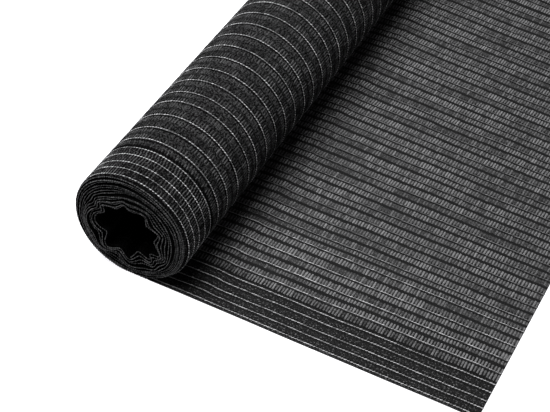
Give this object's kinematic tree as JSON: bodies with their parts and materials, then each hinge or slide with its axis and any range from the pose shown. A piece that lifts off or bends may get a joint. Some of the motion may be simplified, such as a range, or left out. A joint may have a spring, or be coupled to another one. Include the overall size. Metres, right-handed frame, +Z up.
{
  "type": "roll of privacy screen netting",
  "caption": "Hollow roll of dark knitted privacy screen netting lying on its side, with its last stretch drawn out flat from under the roll and a reinforced selvedge along each side.",
  "frame": {"origin": "on the floor, under the middle of the box that holds the roll and its loose end", "axes": "+Y along the roll's axis, away from the end that shows; +X the way the loose end runs out from the roll; +Z up"},
  "size_m": [0.3502, 1, 0.104],
  "materials": {
    "netting": "matt knitted polyethylene tape"
  },
  "bodies": {
    "root": {"roll": "netting", "loose_end": "netting"}
  },
  "joints": []
}
